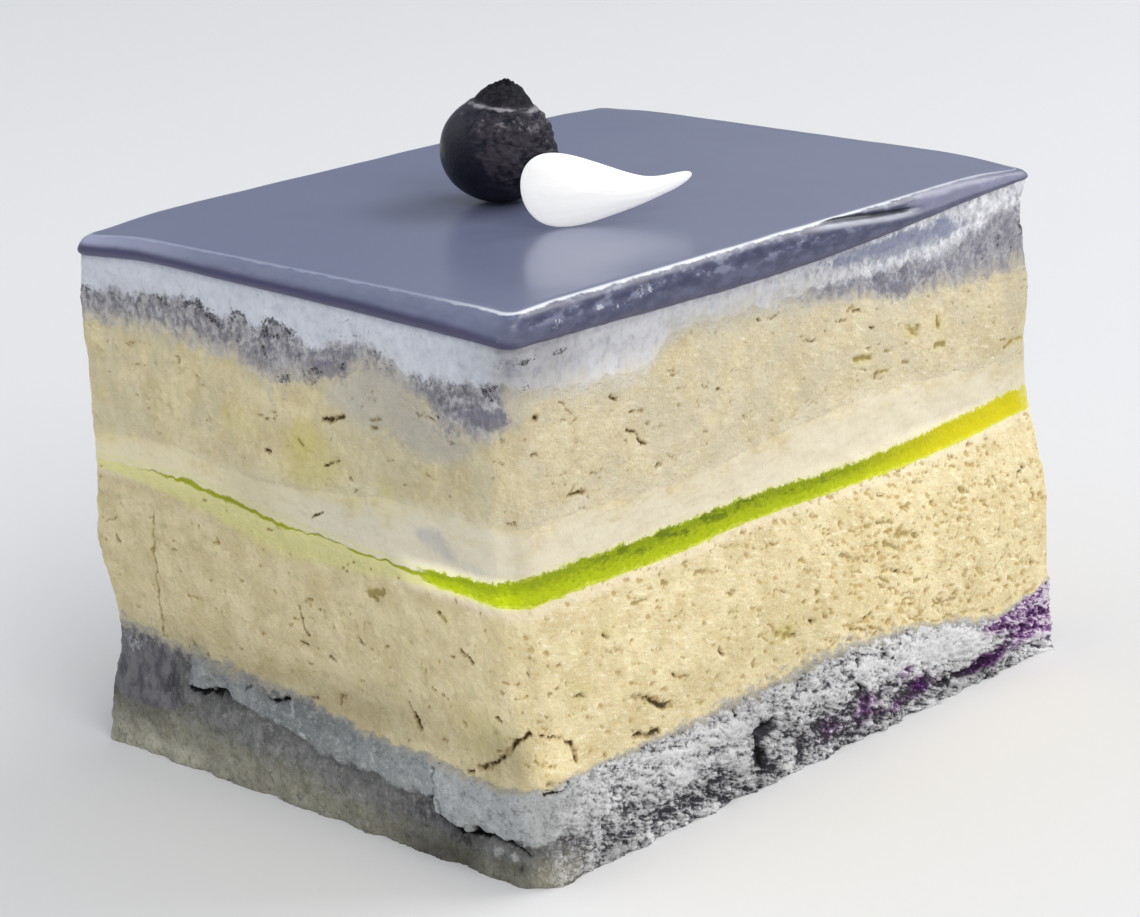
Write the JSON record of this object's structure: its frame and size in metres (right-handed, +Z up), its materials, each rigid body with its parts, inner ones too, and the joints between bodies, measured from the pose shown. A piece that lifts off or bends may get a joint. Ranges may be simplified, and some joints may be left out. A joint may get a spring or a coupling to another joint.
{
  "type": "cake slice",
  "caption": "Block of layered lemon blueberry cake: crumb base, sponges, curd, cream and mirror glaze, with a berry and a petal on top.",
  "frame": {"origin": "centre of the slice's box on the surface it rests on", "axes": "+Z up; the two cut faces that show look along -Y and +X; the longer side of the slice runs along Y"},
  "size_m": [0.0711, 0.0904, 0.0735],
  "materials": {
    "blueberry_base": "rough, crumbly, frosty grey with dark cracks and purple patches",
    "lower_sponge": "open cake crumb with small pits, matt",
    "lemon_curd": "moist set curd, lime green turning to lemon yellow",
    "cream_filling": "pale cream, soft satin",
    "upper_sponge": "fine cake crumb with small cracks, matt",
    "blueberry_layer": "blueberry-stained crumb, streaky grey violet, matt",
    "top_cream": "smooth pale grey cream, satin",
    "mirror_glaze": "mirror-smooth blue grey glaze, glossy",
    "blueberry": "dark skin with a greyish bloom, satin",
    "white_petal": "smooth white petal, satin"
  },
  "bodies": {
    "root": {"blueberry_base": "blueberry_base", "lower_sponge": "lower_sponge", "lemon_curd": "lemon_curd", "cream_filling": "cream_filling", "upper_sponge": "upper_sponge", "blueberry_layer": "blueberry_layer", "top_cream": "top_cream", "mirror_glaze": "mirror_glaze", "blueberry": "blueberry", "white_petal": "white_petal"}
  },
  "joints": []
}
